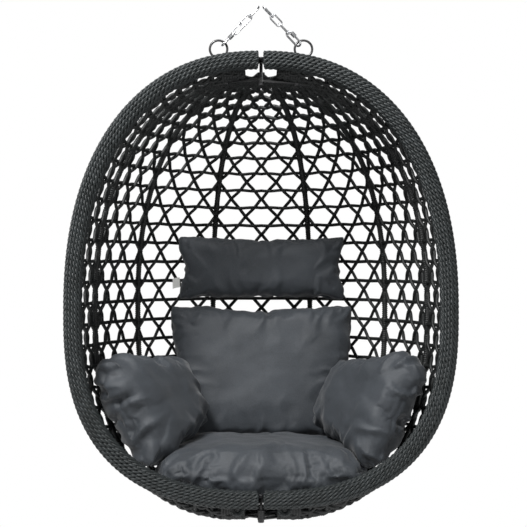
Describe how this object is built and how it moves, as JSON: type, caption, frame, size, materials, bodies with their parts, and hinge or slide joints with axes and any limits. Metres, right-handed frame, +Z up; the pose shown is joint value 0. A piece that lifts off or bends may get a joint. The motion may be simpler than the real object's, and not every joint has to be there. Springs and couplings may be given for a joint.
{
  "type": "hanging basket chair",
  "caption": "Folding wicker egg chair basket with loose cushions, hung by a chain from each half of its rim.",
  "frame": {"origin": "hang point, where a hook passes through the top link of both chains", "axes": "+X to the right as seen from the front, +Y to the back, +Z up"},
  "size_m": [0.95, 0.697, 1.2495],
  "materials": {
    "cushion_fabric": "woven slate grey polyester",
    "net_wicker": "round resin wicker strand",
    "rib_wicker": "wound resin wicker",
    "rim_wicker": "twisted resin wicker rows",
    "black_steel": "black powder coat",
    "zinc_steel": "bright zinc plate"
  },
  "bodies": {
    "hub": {"top_pivot_pin": "black_steel", "top_washer": "black_steel", "top_nut": "black_steel", "bottom_pivot_pin": "black_steel", "bottom_washer": "black_steel", "bottom_nut": "black_steel", "seat_cushion": "cushion_fabric", "back_cushion": "cushion_fabric", "head_cushion": "cushion_fabric", "side_cushion_left": "cushion_fabric", "side_cushion_right": "cushion_fabric"},
    "rib_inner_left": {"rib_inner_left": "black_steel", "rib_wrap_inner_left": "rib_wicker", "net_back_left": "net_wicker"},
    "rib_middle_left": {"rib_middle_left": "black_steel", "rib_wrap_middle_left": "rib_wicker", "net_side_1_left": "net_wicker"},
    "rib_outer_left": {"rib_outer_left": "black_steel", "rib_wrap_outer_left": "rib_wicker", "net_side_2_left": "net_wicker"},
    "rim_left": {"rim_tube_left": "black_steel", "rim_rod_left": "black_steel", "rim_band_left": "rim_wicker", "eye_ring_left": "black_steel", "foot_loop_left": "rim_wicker", "net_front_left": "net_wicker"},
    "quick_link_left": {"quick_link_left": "zinc_steel"},
    "quick_link_nut_left": {"quick_link_nut_left": "zinc_steel"},
    "chain_link_1_left": {"chain_link_1_left": "zinc_steel"},
    "chain_link_2_left": {"chain_link_2_left": "zinc_steel"},
    "chain_link_3_left": {"chain_link_3_left": "zinc_steel"},
    "rib_inner_right": {"rib_inner_right": "black_steel", "rib_wrap_inner_right": "rib_wicker", "net_back_right": "net_wicker"},
    "rib_middle_right": {"rib_middle_right": "black_steel", "rib_wrap_middle_right": "rib_wicker", "net_side_1_right": "net_wicker"},
    "rib_outer_right": {"rib_outer_right": "black_steel", "rib_wrap_outer_right": "rib_wicker", "net_side_2_right": "net_wicker"},
    "rim_right": {"rim_tube_right": "black_steel", "rim_rod_right": "black_steel", "rim_band_right": "rim_wicker", "eye_ring_right": "black_steel", "foot_loop_right": "rim_wicker", "net_front_right": "net_wicker"},
    "quick_link_right": {"quick_link_right": "zinc_steel"},
    "quick_link_nut_right": {"quick_link_nut_right": "zinc_steel"},
    "chain_link_1_right": {"chain_link_1_right": "zinc_steel"},
    "chain_link_2_right": {"chain_link_2_right": "zinc_steel"},
    "chain_link_3_right": {"chain_link_3_right": "zinc_steel"}
  },
  "joints": [
    {"name": "fold_inner_left", "type": "hinge", "parent": "hub", "child": "rib_inner_left", "pos_m": [0, 0.02, -0.73377], "axis": [0, 0, -1], "range_deg": [0, 8.66], "deforming": ["net_back_left", "seat_cushion", "back_cushion", "head_cushion", "side_cushion_left", "side_cushion_right"]},
    {"name": "fold_middle_left", "type": "hinge", "parent": "rib_inner_left", "child": "rib_middle_left", "pos_m": [0, 0.02, -0.73377], "axis": [0, 0, -1], "range_deg": [0, 17.31], "deforming": ["net_side_1_left"]},
    {"name": "fold_outer_left", "type": "hinge", "parent": "rib_middle_left", "child": "rib_outer_left", "pos_m": [0, 0.02, -0.73377], "axis": [0, 0, -1], "range_deg": [0, 17.31], "deforming": ["net_side_2_left"]},
    {"name": "fold_rim_left", "type": "hinge", "parent": "rib_outer_left", "child": "rim_left", "pos_m": [0, 0.02, -0.73377], "axis": [0, 0, -1], "range_deg": [0, 14.71], "deforming": ["net_front_left"]},
    {"name": "quick_link_swing_left", "type": "hinge", "parent": "rim_left", "child": "quick_link_left", "pos_m": [-0.102, 0, -0.10177], "axis": [0, -1, 0], "range_deg": [0, 90]},
    {"name": "quick_link_nut_run_left", "type": "slide", "parent": "quick_link_left", "child": "quick_link_nut_left", "axis": [-0.6881, 0, -0.7257], "range_m": [0, 0.0105]},
    {"name": "chain_link_1_swing_left", "type": "hinge", "parent": "quick_link_left", "child": "chain_link_1_left", "pos_m": [-0.06295, 0, -0.06059], "axis": [0.1509, -0.9781, -0.1431], "range_deg": [0, 25]},
    {"name": "chain_link_2_swing_left", "type": "hinge", "parent": "chain_link_1_left", "child": "chain_link_2_left", "pos_m": [-0.04403, 0, -0.04064], "axis": [0.6629, -0.4067, -0.6286], "range_deg": [0, 9]},
    {"name": "chain_link_3_swing_left", "type": "hinge", "parent": "chain_link_2_left", "child": "chain_link_3_left", "pos_m": [-0.02855, 0, -0.02431], "axis": [-0.101, -0.9903, 0.0958], "range_deg": [0, 25]},
    {"name": "fold_inner_right", "type": "hinge", "parent": "hub", "child": "rib_inner_right", "pos_m": [0, 0.02, -0.73377], "axis": [0, 0, 1], "range_deg": [0, 8.66], "deforming": ["net_back_right", "seat_cushion", "back_cushion", "head_cushion", "side_cushion_left", "side_cushion_right"]},
    {"name": "fold_middle_right", "type": "hinge", "parent": "rib_inner_right", "child": "rib_middle_right", "pos_m": [0, 0.02, -0.73377], "axis": [0, 0, 1], "range_deg": [0, 17.31], "deforming": ["net_side_1_right"]},
    {"name": "fold_outer_right", "type": "hinge", "parent": "rib_middle_right", "child": "rib_outer_right", "pos_m": [0, 0.02, -0.73377], "axis": [0, 0, 1], "range_deg": [0, 17.31], "deforming": ["net_side_2_right"]},
    {"name": "fold_rim_right", "type": "hinge", "parent": "rib_outer_right", "child": "rim_right", "pos_m": [0, 0.02, -0.73377], "axis": [0, 0, 1], "range_deg": [0, 14.71], "deforming": ["net_front_right"]},
    {"name": "quick_link_swing_right", "type": "hinge", "parent": "rim_right", "child": "quick_link_right", "pos_m": [0.102, 0, -0.10177], "axis": [0, 1, 0], "range_deg": [0, 90]},
    {"name": "quick_link_nut_run_right", "type": "slide", "parent": "quick_link_right", "child": "quick_link_nut_right", "axis": [0.6881, 0, -0.7257], "range_m": [0, 0.0105]},
    {"name": "chain_link_1_swing_right", "type": "hinge", "parent": "quick_link_right", "child": "chain_link_1_right", "pos_m": [0.06708, 0, -0.06495], "axis": [0.1756, 0.9703, 0.1665], "range_deg": [0, 16]},
    {"name": "chain_link_2_swing_right", "type": "hinge", "parent": "chain_link_1_right", "child": "chain_link_2_right", "pos_m": [0.04403, 0, -0.04064], "axis": [0.1756, 0.9703, 0.1665], "range_deg": [0, 25]},
    {"name": "chain_link_3_swing_right", "type": "hinge", "parent": "chain_link_2_right", "child": "chain_link_3_right", "pos_m": [0.02855, 0, -0.02431], "axis": [-0.0506, 0.9976, -0.048], "range_deg": [0, 25]}
  ],
  "couplings": [
    {"joint": "fold_inner_left", "follows": "fold_rim_right", "ratio": 0.58836},
    {"joint": "fold_middle_left", "follows": "fold_rim_right", "ratio": 1.1767},
    {"joint": "fold_outer_left", "follows": "fold_rim_right", "ratio": 1.1767},
    {"joint": "fold_rim_left", "follows": "fold_rim_right", "ratio": 1},
    {"joint": "fold_inner_right", "follows": "fold_rim_right", "ratio": 0.58836},
    {"joint": "fold_middle_right", "follows": "fold_rim_right", "ratio": 1.1767},
    {"joint": "fold_outer_right", "follows": "fold_rim_right", "ratio": 1.1767}
  ]
}
